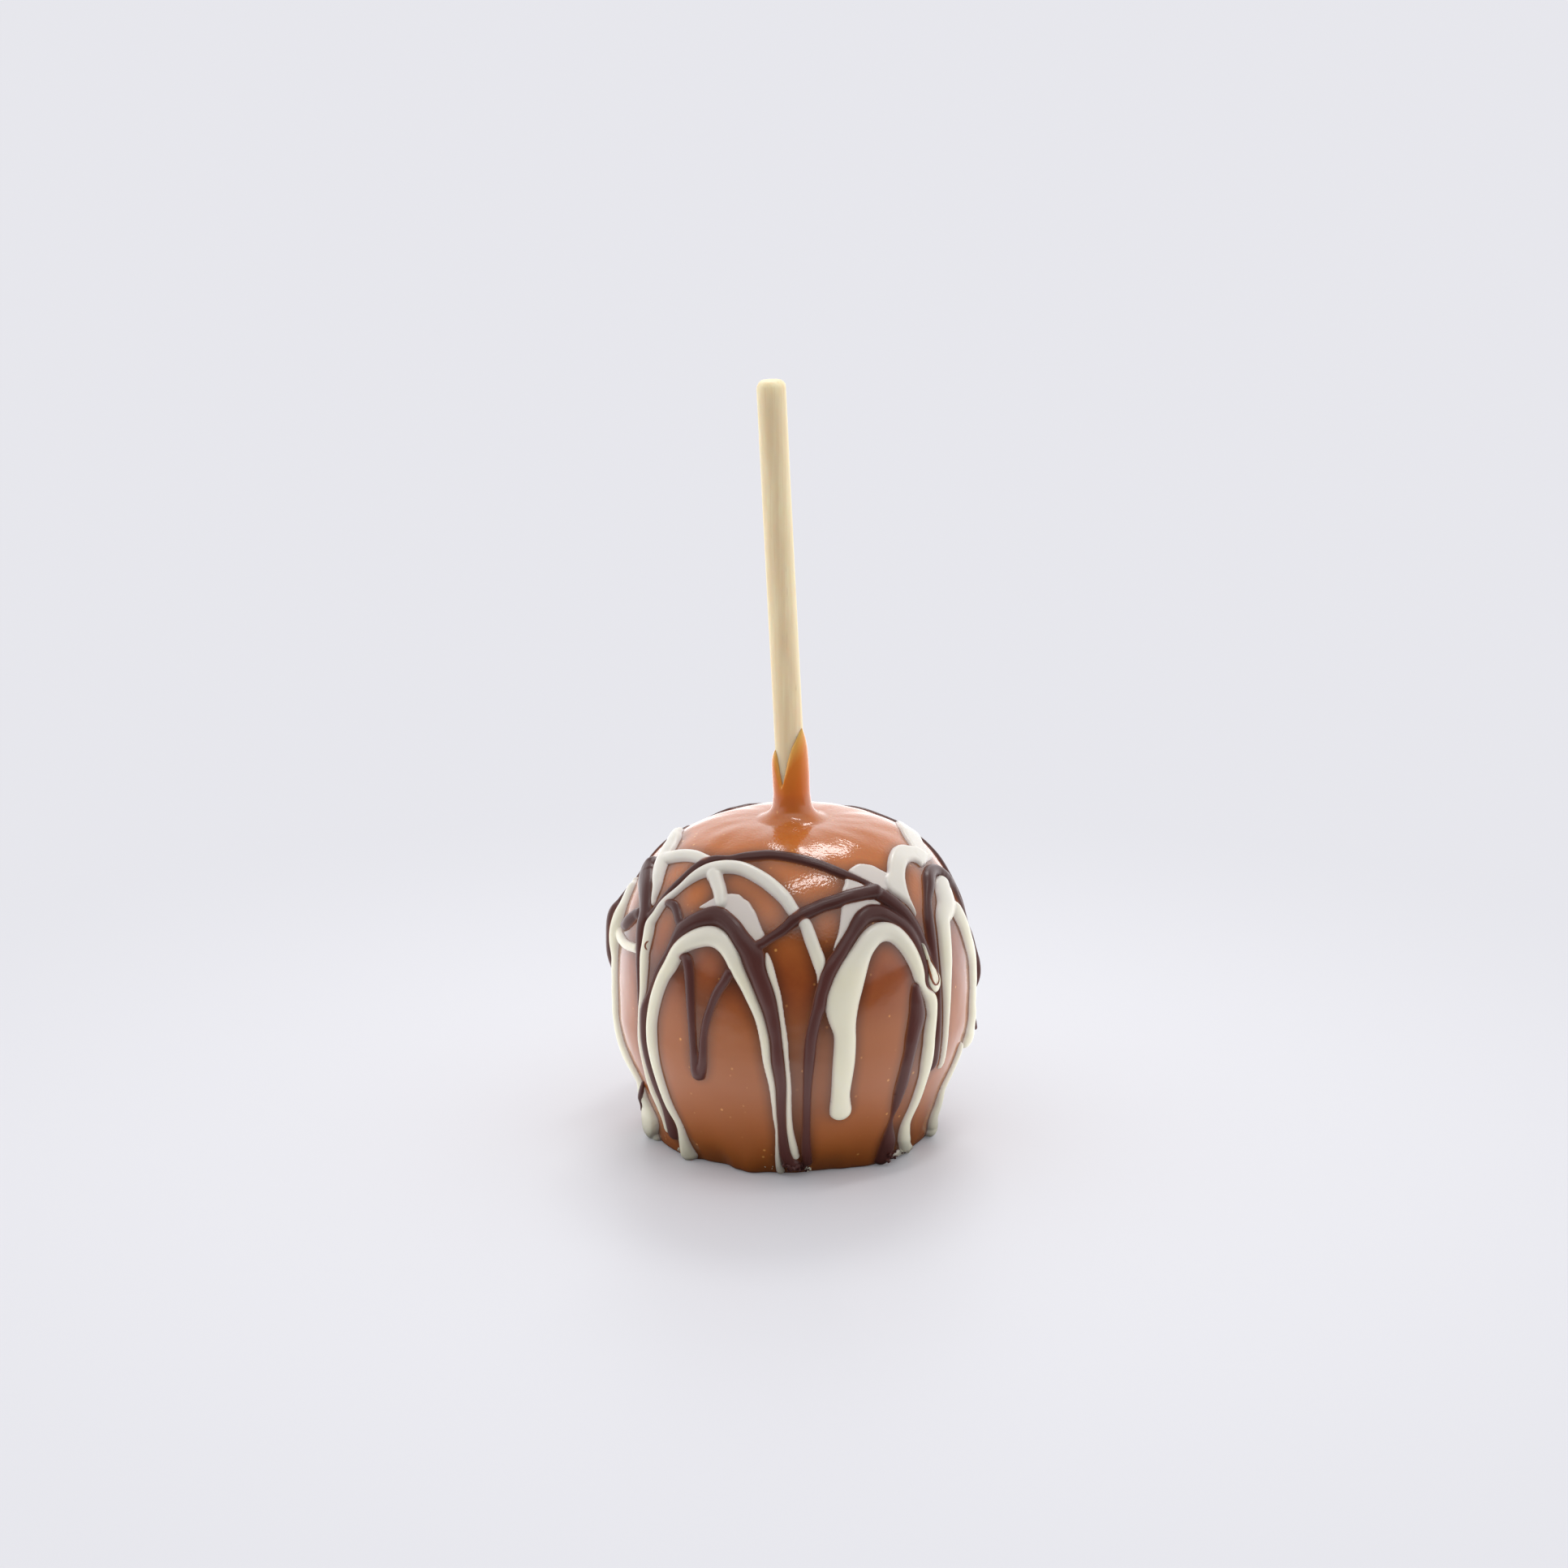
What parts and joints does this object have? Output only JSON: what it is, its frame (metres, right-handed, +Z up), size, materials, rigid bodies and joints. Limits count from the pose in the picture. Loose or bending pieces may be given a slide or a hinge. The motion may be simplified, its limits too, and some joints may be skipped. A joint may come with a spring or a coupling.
{
  "type": "caramel apple",
  "caption": "Round caramel-coated apple standing on its flat foot, with a wooden stick upright from its crown and looping chocolate drizzle all round.",
  "frame": {"origin": "centre of the flat foot that the apple stands on, on the floor plane", "axes": "+Z up along the stick, -Y towards the pictured front, +X to the right in the picture"},
  "size_m": [0.0835, 0.0817, 0.1711],
  "materials": {
    "coated_apple": "glossy caramel, an edible coat with dark and white chocolate on it",
    "stick": "plain light dowel"
  },
  "bodies": {
    "root": {"coated_apple": "coated_apple", "stick": "stick"}
  },
  "joints": []
}
